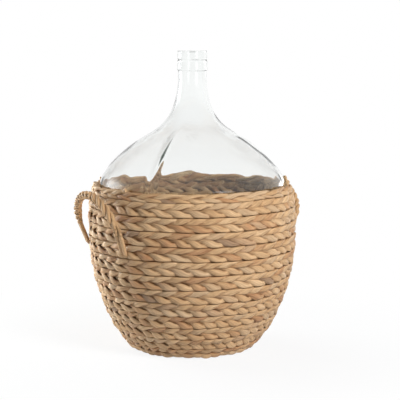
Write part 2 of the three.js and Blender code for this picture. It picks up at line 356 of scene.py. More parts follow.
class Field:
    """Output of a node, which plain signs reckon with."""

    def __init__(self, tree, socket):
        self.tree = tree
        self.socket = socket
        self.is_vector = socket.type == "VECTOR"

    def calc(self, operation, *others):
        """Result of a sum on this number."""
        return calc(self.tree, operation, self, *others)

    def vector_calc(self, operation, *others, output=0):
        """Result of a sum on this vector."""
        values = dict(enumerate((self, *others)))
        return add(self.tree, "ShaderNodeVectorMath", values, output, operation=operation)

    def __add__(self, other):
        return self.vector_calc("ADD", other) if self.is_vector else self.calc("ADD", other)

    def __mul__(self, other):
        if not self.is_vector:
            return self.calc("MULTIPLY", other)
        values = {0: self, "Scale": other}
        return add(self.tree, "ShaderNodeVectorMath", values, operation="SCALE")

    def __sub__(self, other):
        return self.calc("SUBTRACT", other)

    def __rsub__(self, other):
        return calc(self.tree, "SUBTRACT", other, self)

    def __truediv__(self, other):
        return self.calc("DIVIDE", other)

    def __rtruediv__(self, other):
        return calc(self.tree, "DIVIDE", other, self)

    def __pow__(self, other):
        return self.calc("POWER", other)

    def __abs__(self):
        return self.calc("ABSOLUTE")


def fill(node, values):
    """Links or fills inputs of a node."""
    for key, value in values.items():
        if isinstance(value, Field):
            value.tree.links.new(value.socket, node.inputs[key])
        else:
            node.inputs[key].default_value = value


def new_node(tree, kind, values, options):
    """Adds a node, sets its options, and links or fills its inputs."""
    node = tree.nodes.new(kind)
    for key, value in options.items():
        setattr(node, key, value)
    fill(node, values or {})
    return node


def add(tree, kind, values=None, output=0, **options):
    """One output of a new node."""
    return Field(tree, new_node(tree, kind, values, options).outputs[output])


def outputs(tree, kind, values=None, **options):
    """All outputs of a new node, by name."""
    node = new_node(tree, kind, values, options)
    return {socket.name: Field(tree, socket) for socket in node.outputs}


def calc(tree, operation, *values):
    """Result of one sum on numbers."""
    return add(tree, "ShaderNodeMath", dict(enumerate(values)), operation=operation)


def vector(tree, x, y, z):
    """Vector from three numbers."""
    return add(tree, "ShaderNodeCombineXYZ", {0: x, 1: y, 2: z})


def split(place):
    """The three numbers of a vector."""
    return tuple(outputs(place.tree, "ShaderNodeSeparateXYZ", {0: place}).values())


def ranged(value, start, end, low=0.0, high=1.0, **options):
    """Number that goes from low to high while a value goes from start to end."""
    return add(value.tree, "ShaderNodeMapRange", {
        "Value": value, "From Min": start, "From Max": end, "To Min": low, "To Max": high,
    }, **options)


def softly(value, start, end, low=0.0, high=1.0):
    """The same as ranged, with an eased start and end."""
    return ranged(value, start, end, low, high, interpolation_type="SMOOTHSTEP")


def clouds(place, scale, detail, **values):
    """Soft random number at a place."""
    values.update({"Vector": place, "Scale": scale, "Detail": detail})
    return add(place.tree, "ShaderNodeTexNoise", values, "Fac")


def position(tree):
    """Place of each point."""
    return add(tree, "GeometryNodeInputPosition")


def outward(tree):
    """Level way out from the axis at each point."""
    return position(tree).vector_calc("MULTIPLY", (1.0, 1.0, 0.0)).vector_calc("NORMALIZE")


def held(tree, name):
    """Number stored on the geometry under a name."""
    kind = "GeometryNodeInputNamedAttribute"
    return add(tree, kind, {"Name": name}, "Attribute", data_type="FLOAT")


def stored(geometry, values, domain="POINT", data_type="FLOAT"):
    """Geometry with values stored on it under their names."""
    for name, value in values.items():
        geometry = add(
            geometry.tree, "GeometryNodeStoreNamedAttribute",
            {"Geometry": geometry, "Name": name, "Value": value},
            data_type=data_type, domain=domain,
        )
    return geometry


def shifted(geometry, offset):
    """Geometry with its points moved."""
    values = {"Geometry": geometry, "Offset": offset}
    return add(geometry.tree, "GeometryNodeSetPosition", values)


def drawn(index, seed, low=0.0, high=1.0):
    """Random number for a whole number, the same on every run."""
    values = {2: low, 3: high, "ID": index, "Seed": seed}
    return add(index.tree, "FunctionNodeRandomValue", values, 1, data_type="FLOAT")


def curve(line, kind, values=None, **options):
    """Curve with its normal, tilt or radius set."""
    values = {"Curve": line, **(values or {})}
    return add(line.tree, "GeometryNodeSetCurve" + kind, values, **options)


def new_tree(name, labels):
    """Geometry node tree with inputs named by kind; gives the tree and its inputs."""
    tree = bpy.data.node_groups.new(name, "GeometryNodeTree")
    tree.interface.new_socket("Geometry", in_out="INPUT", socket_type="NodeSocketGeometry")
    for kind, names in {**labels, "Material": ("Straw",)}.items():
        for label in names:
            tree.interface.new_socket(label, in_out="INPUT", socket_type="NodeSocket" + kind)
    tree.interface.new_socket("Geometry", in_out="OUTPUT", socket_type="NodeSocketGeometry")
    return tree, outputs(tree, "NodeGroupInput")


def close_tree(geometry, material):
    """Ends a tree: smooth faces, real geometry, the material."""
    tree = geometry.tree
    geometry = add(tree, "GeometryNodeSetShadeSmooth", {"Geometry": geometry})
    geometry = add(tree, "GeometryNodeRealizeInstances", {"Geometry": geometry})
    values = {"Geometry": geometry, "Material": material}
    done = add(tree, "GeometryNodeSetMaterial", values)
    new_node(tree, "NodeGroupOutput", {"Geometry": done}, {})
    return tree


def section_ring(tree, depth, width, facets, edge=0.6):
    """Strand section with thin edges, each point's place in it stored as "section"."""
    ring = add(tree, "GeometryNodeCurvePrimitiveCircle", {"Resolution": facets, "Radius": 1.0})
    place = position(tree)
    ring = stored(ring, {"section": place}, data_type="FLOAT_VECTOR")
    x, y, _ = split(place)
    lens = vector(tree, x * abs(x) ** edge * (depth * 0.5), y * (width * 0.5), 0.0)
    return add(tree, "GeometryNodeSetPosition", {"Geometry": ring, "Position": lens})


def swept(line, section, caps=True):
    """Straw with a section along a line."""
    values = {"Curve": line, "Profile Curve": section, "Fill Caps": caps}
    return add(line.tree, "GeometryNodeCurveToMesh", values)


def wall_ways(tree):
    """Way out of the wall and way up the wall at each point of a row."""
    away = outward(tree)
    sine = held(tree, "lean").calc("SINE")
    cosine = held(tree, "lean").calc("COSINE")
    out_way = away * cosine + vector(tree, 0.0, 0.0, sine * -1.0)
    return out_way, away * sine + vector(tree, 0.0, 0.0, cosine)


def twined_tree():
    """Rows of two strands that twist round each other and pass the stakes out and in."""
    tree, given = new_tree("Twined rows", {
        "Int": ("Points per Row", "Facets", "Seed"),
        "Float": TWINED_SIZES,
    })
    ring = held(tree, "ring")
    row = held(tree, "row")
    seed = given["Seed"]
    circle = add(tree, "GeometryNodeCurvePrimitiveCircle", {
        "Resolution": given["Points per Row"], "Radius": 1.0,
    })
    rows = add(tree, "GeometryNodeInstanceOnPoints", {
        "Points": given["Geometry"], "Instance": circle, "Scale": vector(tree, ring, ring, 1.0),
    })
    loops = add(tree, "GeometryNodeRealizeInstances", {"Geometry": rows})
    pair = outputs(
        tree, "GeometryNodeDuplicateElements", {"Geometry": loops, "Amount": 2}, domain="SPLINE"
    )
    strand = pair["Duplicate Index"]
    around = add(tree, "GeometryNodeSplineParameter", output="Factor")

    # Twist angle: about half a turn from one stake to the next, drawn out here and there
    columns = around * held(tree, "columns")
    for waves, size, step in TWIST_WAVES:
        wave = around * (waves * math.tau) + row * step
        columns = wave.calc("SINE") * size + columns
    twist = (columns + strand) * math.pi
    late = twist - given["Skew"]
    lobe = (late * (0.5 / math.pi) + 0.5).calc("FLOOR")
    index = strand * STRAND_STEP + lobe + row * ROW_STEP
    front = late.calc("COSINE") * 0.5 + 0.5

    out_way, up_way = wall_ways(tree)
    stray = given["Unevenness"] * held(tree, "looseness") * front
    swing = given["Swing Out"] * held(tree, "swing")
    out = swing * late.calc("COSINE") + stray * drawn(index, seed + 1.0, -1.0)
    climb = given["Climb"] * (held(tree, "half") * held(tree, "turn"))
    up = climb * twist.calc("SINE") + stray * drawn(index, seed + 2.0, -1.0)
    line = shifted(pair["Geometry"], out_way * out + up_way * up)

    # Strands are plump on the face and narrow where they pass the stake
    plump = front * FACE_GAIN + STAKE_GIRTH
    size = plump * (drawn(index, seed + 3.0, *LOBE_DRAW) * front + 1.0) * held(tree, "girth")
    line = curve(line, "Normal", mode="Z_UP")
    line = curve(line, "Tilt", {"Tilt": held(tree, "lean")})
    line = curve(line, "Radius", {"Radius": size})
    # front also feeds the painted shade at the start of each lobe, where it tucks under the lobe
    # before
    line = stored(line, {
        "tone": drawn(index, seed),
        "tint": drawn(index, seed + 4.0),
        "along": around * ring * math.tau + index * LOBE_SHIFT,
        "front": front,
    })
    section = section_ring(
        tree, given["Strand Depth"], given["Strand Width"], given["Facets"], WALL_THINNING
    )
    packed = pressed(swept(line, section, False), given["Groove"])
    return close_tree(drifted(packed, given["Drift"]), given["Straw"])


def pressed(straw, groove):
    """Strands squeezed into their own row, with a groove on the side they slant to."""
    tree = straw.tree
    x, y, z = split(position(tree))
    sine = held(tree, "lean").calc("SINE")
    cosine = held(tree, "lean").calc("COSINE")
    sideways = (x * x + y * y).calc("SQRT") - held(tree, "ring")
    upright = z - held(tree, "height")
    above = sideways * sine + upright * cosine
    outside = sideways * cosine - upright * sine

    # The rows close up behind the face of the wall
    face = ranged(outside, FACE_START, FACE_END)
    grooved = (above * held(tree, "turn")).calc("GREATER_THAN", 0.0)
    cut = groove * (grooved * face)
    room = held(tree, "half") - cut + (1.0 - face) * BACK_LAP
    room = (1.0 - grooved) * FRONT_LAP + room
    kept = above / (abs(above / room) ** SQUEEZE + 1.0) ** (1.0 / SQUEEZE)
    _, up_way = wall_ways(tree)
    return shifted(straw, up_way * (kept - above))


def drifted(straw, drift):
    """Weave that wanders a little, as hand work does."""
    place = position(straw.tree)
    moves = []
    for way, shift in zip(wall_ways(straw.tree), DRIFT_PLACES):
        cloud = clouds(place * DRIFT_SCALE + shift, 1.0, 1.0)
        moves.append(way * ((cloud - 0.5) * drift))
    return shifted(straw, moves[0] + moves[1])


def stake_tree():
    """Flat stakes along one line, set round the basket."""
    tree, given = new_tree("Stakes round the basket", {
        "Int": ("Count", "Seed"), "Float": ("Stake Width", "Stake Depth"),
    })
    line = add(tree, "GeometryNodeMeshToCurve", {"Mesh": given["Geometry"]})
    line = stored(line, {"along": add(tree, "GeometryNodeSplineParameter", output="Length")})
    line = curve(line, "Normal", mode="MINIMUM_TWIST")
    section = section_ring(tree, given["Stake Width"], given["Stake Depth"], STRAW_FACETS)
    index = add(tree, "GeometryNodeInputIndex")
    turn = (index + 0.5) * (math.tau / given["Count"])
    ring = add(tree, "GeometryNodeInstanceOnPoints", {
        "Points": add(tree, "GeometryNodePoints", {"Count": given["Count"]}),
        "Instance": swept(line, section),
        "Rotation": vector(tree, 0.0, 0.0, turn),
    })
    ring = stored(ring, {
        "tone": drawn(index, given["Seed"]), "tint": drawn(index, given["Seed"] + 1.0),
    }, domain="INSTANCE")
    return close_tree(ring, given["Straw"])


def loose_end_tree():
    """Flat straw along each line, drawn out to a point at its end."""
    tree, given = new_tree("Loose straw ends", {"Float": ("Straw Width", "Straw Depth")})
    line = add(tree, "GeometryNodeMeshToCurve", {"Mesh": given["Geometry"]})
    way = outputs(tree, "GeometryNodeSplineParameter")
    line = stored(line, {"along": way["Length"]})
    line = curve(line, "Normal", {"Normal": outward(tree)}, mode="FREE")
    tip = 0.02
    line = curve(line, "Radius", {"Radius": (1.0 + tip) - way["Factor"] ** 2.0})
    section = section_ring(tree, given["Straw Depth"], given["Straw Width"], STRAW_FACETS)
    return close_tree(swept(line, section), given["Straw"])


def rope_tree():
    """Rope of twisted strands along a path that run side by side at both ends."""
    tree, given = new_tree("Laid rope", {
        "Int": ("Strands", "Points", "Facets", "Seed"),
        "Float": ("Rope Radius", "Turns", "Twist Start", "Twist End"),
        "Vector": ("Out Way",),
    })
    radius = given["Rope Radius"]
    path = add(tree, "GeometryNodeMeshToCurve", {"Mesh": given["Geometry"]})
    path = add(tree, "GeometryNodeResampleCurve", {"Curve": path, "Count": given["Points"]})
    bundle = outputs(tree, "GeometryNodeDuplicateElements", {
        "Geometry": path, "Amount": given["Strands"],
    }, domain="SPLINE")
    strand = bundle["Duplicate Index"]
    way = outputs(tree, "GeometryNodeSplineParameter")
    left = ranged(way["Factor"], given["Twist Start"], given["Twist End"], 1.0, 0.0)
    spun = 1.0 - left ** TWIST_EASE
    turn = (spun * given["Turns"] + strand / given["Strands"]) * math.tau

    # The strands lie flat beside each other where the twist has run out
    flat = 0.0
    for start, end in LEG_SPANS:
        flat = softly(way["Factor"], start, end).calc("MAXIMUM", flat)
    laid = 1.0 - flat
    side = (given["Out Way"] * laid + outward(tree) * flat).vector_calc("NORMALIZE")
    across = add(tree, "GeometryNodeInputTangent").vector_calc("CROSS_PRODUCT", side)
    offset = radius * ROPE_LAY
    thin = offset * (flat * FLAT_DEPTH + 1.0)
    wide = offset * (flat * FLAT_BREADTH + 1.0)
    move = side * (thin * turn.calc("COSINE")) + across * (wide * turn.calc("SINE"))
    line = shifted(bundle["Geometry"], move)
    line = curve(line, "Normal", {"Normal": side}, mode="FREE")
    line = curve(line, "Tilt", {"Tilt": turn * laid})
    line = curve(line, "Radius", {"Radius": flat * FLAT_GIRTH + 1.0})
    line = stored(line, {
        "along": way["Length"],
        "tone": drawn(strand, given["Seed"], *ROPE_TONES),
        "tint": drawn(strand, given["Seed"] + 1.0),
    })
    section = section_ring(tree, radius, radius * ROPE_BREADTH, given["Facets"], ROPE_THINNING)
    return close_tree(swept(line, section), given["Straw"])


# Meshes


def placed(name, mesh):
    """Object at the origin that shows a mesh."""
    piece = bpy.data.objects.new(name, mesh)
    bpy.context.scene.collection.objects.link(piece)
    return piece


def grown(name, tree, source, values):
    """Object whose plain mesh is what a node tree makes from a source mesh."""
    seedling = placed(name + "_source", source)
    modifier = seedling.modifiers.new("Nodes", "NODES")
    modifier.node_group = tree
    sockets = {s.name: s.identifier for s in tree.interface.items_tree if s.in_out == "INPUT"}
    for label, value in values.items():
        modifier[sockets[label]] = value
    bpy.context.view_layer.update()
    graph = bpy.context.evaluated_depsgraph_get()
    mesh = bpy.data.meshes.new_from_object(seedling.evaluated_get(graph), depsgraph=graph)
    if len(mesh.polygons) == 0:
        raise RuntimeError(name + " came out empty")
    mesh.name = name
    seedling.modifiers.remove(modifier)
    bpy.data.objects.remove(seedling)
    bpy.data.meshes.remove(source)
    return placed(name, mesh)


def plain_mesh(name, points, edges=(), faces=()):
    """Mesh of given points, edges and faces."""
    mesh = bpy.data.meshes.new(name)
    mesh.from_pydata(points, edges, faces)
    return mesh


def line_mesh(name, lines):
    """Mesh of lines of points."""
    points = []
    edges = []
    for line in lines:
        edges += [(len(points) + i, len(points) + i + 1) for i in range(len(line) - 1)]
        points += line
    return plain_mesh(name, points, edges)


def twined(name, tree, basket, rows, straw, changes):
    """Object of twined rows; the changes are what differs from the wall."""
    mesh = plain_mesh(name, [(0.0, 0.0, row["height"]) for row in rows])
    for label in rows[0]:
        values = [row[label] for row in rows]
        mesh.attributes.new(label, "FLOAT", "POINT").data.foreach_set("value", values)
    sizes = {label: getattr(basket, label.lower().replace(" ", "_")) for label in TWINED_SIZES}
    return grown(name, tree, mesh, {
        "Points per Row": STAKE_COUNT * POINTS_PER_STAKE,
        "Facets": 12,
        "Seed": basket.seed,
        "Straw": straw,
        **sizes,
        **changes,
    })


def row_values(wall, basket, along, half, turn, index, **extra):
    """One row of the wall at a length along it, half its height to each side."""
    full = eased(along, *SWELL_RISE) * eased(along, *SWELL_FALL)
    spread = eased(along, *FOOT_REACH)
    ring, height, lean = wall.at(
        along, basket.row_bed - basket.fullness * full - basket.foot_spread * spread
    )
    return {
        "ring": ring, "height": height, "half": half, "lean": lean, "turn": turn, "row": index,
        "columns": STAKE_COUNT, "girth": 1.0, "looseness": 1.0, "swing": 1.0, **extra,
    }


def lathe(name, outline, sides):
    """Closed turned mesh about the Z axis; the outline starts and ends on the axis."""
    verts = []
    rings = []
    for radius, height in outline:
        if radius < 1e-6:
            rings.append([len(verts)] * sides)
            verts.append((0.0, 0.0, height))
            continue
        rings.append(range(len(verts), len(verts) + sides))
        for i in range(sides):
            turn = math.tau * i / sides
            verts.append((radius * math.cos(turn), radius * math.sin(turn), height))
    faces = []
    for low, high in zip(rings, rings[1:]):
        for i in range(sides):
            j = (i + 1) % sides
            corner = [low[i], low[j], high[j], high[i]]
            faces.append([v for k, v in enumerate(corner) if v not in corner[:k]])
    mesh = plain_mesh(name, verts, faces=faces)
    mesh.polygons.foreach_set("use_smooth", [True] * len(mesh.polygons))
    mesh.update()
    return mesh


def bottle_outline(bottle, basket):
    """Glass outline: up the outside from the punt, over the lip and down the inside."""
    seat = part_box("glass_bottle")[0].z
    flare = Vector((math.cos(basket.foot_flare), math.sin(basket.foot_flare)))
    slope = Vector((-math.cos(bottle.shoulder_slope), math.sin(bottle.shoulder_slope)))
    side_top = basket.belly_height + bottle.side_height
    shoulder_top = side_top + bottle.shoulder_rise
    neck_top = shoulder_top + bottle.neck_rise
    collar_top = neck_top + bottle.collar_height
    lip_bottom = collar_top + bottle.groove_height
    mouth = lip_bottom + bottle.lip_height
    heel = Vector((bottle.foot_radius, seat)) + flare * bottle.heel_round
    turn = Vector((bottle.shoulder_end, shoulder_top))
    side_line = (
        heel,
        heel + flare * (basket.foot_sweep - bottle.heel_round),
        (bottle.radius, basket.belly_height - basket.belly_sweep),
        (bottle.radius, basket.belly_height),
    )
    shoulder_line = (
        (bottle.radius, side_top),
        (bottle.radius, side_top + bottle.shoulder_round),
        turn - slope * bottle.shoulder_sweep,
        turn,
    )
    neck_line = (
        turn,
        turn + slope * bottle.shoulder_sweep,
        (bottle.neck_radius, neck_top - bottle.neck_sweep),
        (bottle.neck_radius, neck_top),
    )

    def skin(depth):
        """One skin of the glass from the punt to the neck."""
        corner = bottle.foot_radius - depth * math.tan(basket.foot_flare / 2)
        top = seat + bottle.punt_rise + depth
        low = seat + depth
        punt_line = ((0.0, top), (bottle.punt_radius / 2, top), (bottle.punt_radius, low))
        start = bezier_line(side_line, 1, depth)[0]
        heel_line = ((corner - bottle.heel_round, low), (corner, low), start)
        return [
            *bezier_line(punt_line, PUNT_STEPS),
            *bezier_line(heel_line, HEEL_STEPS),
            *bezier_line(side_line, SIDE_STEPS, depth)[1:],
            *bezier_line(shoulder_line, SHOULDER_STEPS, depth),
            *bezier_line(neck_line, NECK_STEPS, depth)[1:],
        ]

    edge = bottle.edge_round
    neck = bottle.neck_radius
    collar = bottle.collar_radius
    groove = bottle.groove_radius
    lip = bottle.lip_radius
    bore = neck - bottle.wall
    corners = (
        ((neck, neck_top - edge / 2), (neck, neck_top), (neck + edge / 4, neck_top + edge / 8)),
        (
            (collar - edge / 4, neck_top + edge / 4),
            (collar, neck_top + edge / 2),
            (collar, neck_top + 2 * edge),
        ),
        ((collar, collar_top - 2 * edge), (collar, collar_top), (groove, collar_top + edge / 4)),
        ((groove, lip_bottom - edge / 4), (lip, lip_bottom), (lip, lip_bottom + edge)),
        ((lip, mouth - edge), (lip, mouth), (lip - edge, mouth)),
        ((bore + edge / 2, mouth), (bore, mouth), (bore, mouth - edge / 2)),
    )
    inside = list(reversed(skin(bottle.wall)))
    rings = [place for corner in corners for place in bezier_line(corner, EDGE_STEPS)]
    return [*skin(0.0)[:-1], *steadied([*rings, inside[0]], edge / 5), *inside[1:]]


def steadied(line, margin):
    """Line with a point close to each end of its straight runs, so that they shade flat."""
    steady = [line[0]]
    for a, b in zip(line, line[1:]):
        way = (b - a).normalized() * margin
        if (b - a).length > margin * 6:
            steady += [a + way, b - way]
        steady.append(b)
    return steady


def mould(mesh, bottle):
    """Draws in the mould seam and the waves of blown glass on the outer skin."""
    rings = bottle.lip_height + bottle.groove_height + bottle.collar_height
    neck_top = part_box("glass_bottle")[1].z - rings
    seam = Vector((math.cos(bottle.seam_turn), math.sin(bottle.seam_turn)))
    moves = []
    for vertex in mesh.vertices:
        place, way = vertex.co, vertex.normal
        if way.xy.dot(place.xy) <= 0.0:
            moves.append(Vector())
            continue
        out = place.xy.dot(seam)
        off = abs(seam.cross(place.xy))
        furrow = eased(off, bottle.seam_width, 0.0)
        furrow *= eased(out, bottle.neck_radius, bottle.neck_radius * 4)
        wave = (1.0 + noise.noise(place / bottle.wave_length)) / 2
        depth = bottle.seam_depth * furrow + bottle.wave_depth * wave
        moves.append(way * -depth * eased(place.z, neck_top, neck_top - bottle.neck_radius))
    for vertex, move in zip(mesh.vertices, moves):
        vertex.co += move
    mesh.update()


def arch_points(handles, turn):
    """Path of one rope handle, whose legs sink into the weave at their ends."""
    lean_out = Vector((math.sin(handles.lean), 0.0, math.cos(handles.lean)))
    spin = Matrix.Rotation(turn, 3, "Z")

    def root(end, drop=0.0):
        return Vector((handles.reach, end * handles.spread, handles.root_height - drop))

    def pull(end):
        return root(end) + lean_out * (handles.rise * 4 / 3) + Vector((0, end * handles.swell, 0))

    arch = (root(-1), pull(-1), pull(1), root(1))
    drops = (handles.tail, handles.tail / 2)
    line = [root(-1, drop) for drop in drops]
    line += [bezier(arch, i / ARCH_STEPS)[0] for i in range(ARCH_STEPS + 1)]
    line += [root(1, drop) for drop in reversed(drops)]
    for p in line:
        above = p.z - handles.root_height
        sunk = eased(above, -handles.tail * SINK_START, -handles.tail * SINK_END)
        inward = handles.sink * sunk
        inward += handles.lie * eased(above, handles.rise / 2, 0.0)
        p -= Vector((p.x, p.y, 0.0)).normalized() * inward
    return [spin @ p for p in line]


# Finishes


def opaque(tone):
    """Colour with full cover."""
    return (*tone, 1.0)


def new_material(name):
    """Empty node material; gives it with its tree and its shader."""
    material = bpy.data.materials.new(name)
    material.use_nodes = True
    return material, material.node_tree, material.node_tree.nodes["Principled BSDF"]


def attribute(tree, name, output="Fac"):
    """Value that the piece carries under a name."""
    return add(tree, "ShaderNodeAttribute", output=output, attribute_name=name)


def ramp(value, stops):
    """Colours along a number."""
    node = new_node(value.tree, "ShaderNodeValToRGB", {"Fac": value}, {})
    band = node.color_ramp.elements
    while len(band) < len(stops):
        band.new(0.5)
    for element, (place, tone) in zip(band, stops):
        element.position = place
        element.color = opaque(tone)
    return Field(value.tree, node.outputs["Color"])


def mixed(tree, blend, amount, first, second):
    """Two colours mixed."""
    values = {0: amount, 6: first, 7: second}
    return add(tree, "ShaderNodeMix", values, 2, data_type="RGBA", blend_type=blend)


def blended(tree, amount, shader, other):
    """Shader that turns into another one."""
    values = {0: amount, 1: Field(tree, shader.outputs[0]), 2: other}
    return add(tree, "ShaderNodeMixShader", values)


def straw_material(name, finish, pale=0.0, painted_shade=0.0):
    """Dry flattened straw: fibres along each strand, tones that change from strand to strand, and,
    if asked, painted shade at the tuck of each lobe and along the strand's edges.
    """
    material, tree, shader = new_material(name)
    tone = attribute(tree, "tone")
    tint = attribute(tree, "tint")
    along = attribute(tree, "along")
    x, y, _ = split(attribute(tree, "section", "Vector"))

    # Fine fibres and broad patches, both drawn out along the strand and new on every lobe
    fibre_place = vector(
        tree, along * FIBRES[0], x * FIBRES[1] + tone * FIBRE_JUMPS[0],
        y * FIBRES[2] + tint * FIBRE_JUMPS[1],
    )
    fibre = clouds(fibre_place, 1.0, 3.0, Roughness=0.6)
    patch_place = vector(
        tree, along * PATCHES[0], x * PATCHES[1], y * PATCHES[2] + tint * PATCH_JUMP
    )
    patch = clouds(patch_place, 1.0, 1.0)

    # Shade of the lobe, with a few lobes dark and some weathered grey
    lobe_share = 0.7 - 0.4 * pale
    patch_share = 0.55
    least = -0.1 + 0.34 * pale
    shade = tone * lobe_share + (patch * patch_share + least)
    body = ramp(shade - tint.calc("GREATER_THAN", DARK_FROM), (
        (0.0, finish.straw_dark),
        (0.12, finish.straw_red),
        (0.4, finish.straw_mid),
        (1.0, finish.straw_pale),
    ))
    weathered = tint.calc("GREATER_THAN", GREY_FROM) * GREY_SHARE
    body = mixed(tree, "MIX", weathered, body, opaque(finish.straw_grey))
    streak = ramp(fibre, ((0.28, (0.62, 0.56, 0.50)), (0.62, (1.08, 1.06, 1.03))))
    body = mixed(tree, "MULTIPLY", FIBRE_SHARE, body, streak)
    # Painted shade: each lobe darker at its start, where it tucks under the lobe before, and darker
    # along both edges of the strand, where the creases between strands lie in shade
    if painted_shade:
        painted_tuck_shade = ramp(attribute(tree, "front"), ((0.1, (0.56, 0.49, 0.43)), (0.6, WHITE)))
        painted_crease_shade = ramp(abs(y), ((0.72, WHITE), (0.97, (0.46, 0.36, 0.28))))
        for cover in (painted_tuck_shade, painted_crease_shade):
            body = mixed(tree, "MULTIPLY", painted_shade, body, cover)
    bump = {"Strength": 0.55, "Distance": 0.0012, "Height": fibre}
    fill(shader, {
        "Base Color": body,
        "Roughness": ranged(fibre, 0.25, 0.75, 0.72, 0.5),
        "Normal": add(tree, "ShaderNodeBump", bump),
    })
    return material


def painted_ring_shade(bottle, place):
    """Broken grey lines of painted shade at the rings of the mouth, where the rings bend the light.
    """
    *_, height = split(place)
    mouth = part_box("glass_bottle")[1].z
    groove = mouth - bottle.lip_height - bottle.groove_height / 2
    collar_foot = groove - bottle.groove_height / 2 - bottle.collar_height
    dense, gone = 0.0004, 0.0016
    bare, full_shade = 0.47, 0.63
    break_scale = 75.0
    broken = softly(clouds(place, break_scale, 2.0), bare, full_shade)
    lines = [
        softly(abs(height - level), gone, dense)
        for level in (mouth - bottle.edge_round, groove, collar_foot)
    ]
    return (lines[0] + lines[1] + lines[2]) * broken


def painted_seam_glint(bottle, place):
    """Green streak of painted glint that lies in the mould seam."""
    x, y, z = split(place)
    ahead = math.cos(bottle.seam_turn)
    aside = math.sin(bottle.seam_turn)
    out = x * ahead + y * aside
    off = abs(y * ahead + x * -aside)
    here = softly(out, bottle.neck_radius, bottle.neck_radius * 4)
    along = ranged(z, bottle.streak_low, bottle.streak_high)
    shape = ramp(along, ((0.0, BLACK), (0.3, WHITE), (0.6, (0.6, 0.6, 0.6)), (1.0, BLACK)))
    breadth = shape * bottle.streak_width + 1e-5
    edge, core = 1.0, 0.2
    faint, strong = 1.6, 0.3
    return here * (softly(off / breadth, edge, core) * softly(along, faint, strong))


def glass_material(name, finish, bottle):
    """Clear blown glass with a green streak of painted glint in its seam and broken lines of
    painted shade at the rings of its mouth; lamps shine through it.
    """
    material, tree, shader = new_material(name)
    place = add(tree, "ShaderNodeTexCoord", output="Object")
    clear = opaque((0.981, 0.988, 0.985))
    full_shade = opaque((0.2, 0.2, 0.2))
    cover = 0.4
    # Painted shade at the rings of the mouth
    tone = mixed(tree, "MIX", painted_ring_shade(bottle, place) * cover, clear, full_shade)
    # Painted dark green glint in the mould seam
    tone = mixed(tree, "MIX", painted_seam_glint(bottle, place), tone, opaque(finish.streak))
    fill(shader, {
        "Base Color": tone, "Roughness": 0.01, "IOR": 1.45, "Transmission Weight": 1.0,
    })
    shadow_ray = add(tree, "ShaderNodeLightPath", output="Is Shadow Ray")
    let_by = add(tree, "ShaderNodeBsdfTransparent", {"Color": opaque((0.98, 0.985, 0.98))})
    inside = {"Color": opaque(finish.glass), "Density": finish.glass_depth}
    fill(tree.nodes["Material Output"], {
        "Surface": blended(tree, shadow_ray, shader, let_by),
        "Volume": add(tree, "ShaderNodeVolumeAbsorption", inside),
    })
    return material


def seen_rays(tree):
    """One for rays that come from the camera, straight or by gloss or glass."""
    path = outputs(tree, "ShaderNodeLightPath")
    seen = path["Is Camera Ray"].calc("MAXIMUM", path["Is Glossy Ray"])
    seen = seen.calc("MAXIMUM", path["Is Transmission Ray"])
    return seen * path["Diffuse Depth"].calc("LESS_THAN", 0.5)


def floor_material(name, stage):
    """Pale floor that the camera sees as white, with the soft shadow left on it."""
    material, tree, shader = new_material(name)
    fill(shader, {"Base Color": opaque(stage.floor), "Roughness": 0.9})
    white = add(tree, "ShaderNodeEmission", {"Color": opaque(WHITE), "Strength": 1.0})
    place = add(tree, "ShaderNodeTexCoord", output="Object")
    far = place.vector_calc("LENGTH", output="Value")
    shadow_start, shadow_end, least_white = 0.16, 0.6, 0.86
    mostly = seen_rays(tree) * softly(far, shadow_start, shadow_end, least_white, 1.0)
    fill(tree.nodes["Material Output"], {"Surface": blended(tree, mostly, shader, white)})
    return material


def soft_edges(lamp):
    """Fades the light of a card from its middle to its edges."""
    lamp.use_nodes = True
    tree = lamp.node_tree
    across, up, _ = split(add(tree, "ShaderNodeNewGeometry", output="Parametric"))
    core, edge = 0.1, 0.5
    fades = [softly(abs(side - 0.5), core, edge, 1.0, 0.0) for side in (across, up)]
    fill(tree.nodes["Emission"], {"Strength": fades[0] * fades[1]})


# Stage


def compass(stage):
    """Level ways from the axis to the camera and to the camera's right."""
    toward = Vector((math.cos(stage.heading), math.sin(stage.heading), 0.0))
    return toward, Vector((-toward.y, toward.x, 0.0))


def white_room(stage):
    """World that is white to the camera, with a darker side for gloss and glass to show."""
    world = bpy.data.worlds.new("white_room")
    world.use_nodes = True
    tree = world.node_tree
    toward, right = compass(stage)
    darkest = toward * math.cos(stage.dark_turn) + right * math.sin(stage.dark_turn)
    way = add(tree, "ShaderNodeTexCoord", output="Generated")
    *_, rise = split(way)
    facing = way.vector_calc("DOT_PRODUCT", darkest, output="Value")
    dark_start, dark_full = -0.5, 0.45
    wall_top, wall_full = 0.7, 0.25
    dark = softly(facing, dark_start, dark_full) * (1.0 - stage.dark_wall)
    dark = dark * softly(rise, wall_top, wall_full)
    camera_ray = add(tree, "ShaderNodeLightPath", output="Is Camera Ray")
    shown = (1.0 - dark).calc("MAXIMUM", camera_ray)
    light = seen_rays(tree) * (shown - stage.ambient) + stage.ambient
    fill(tree.nodes["Background"], {"Strength": light, "Color": opaque(WHITE)})
    return world


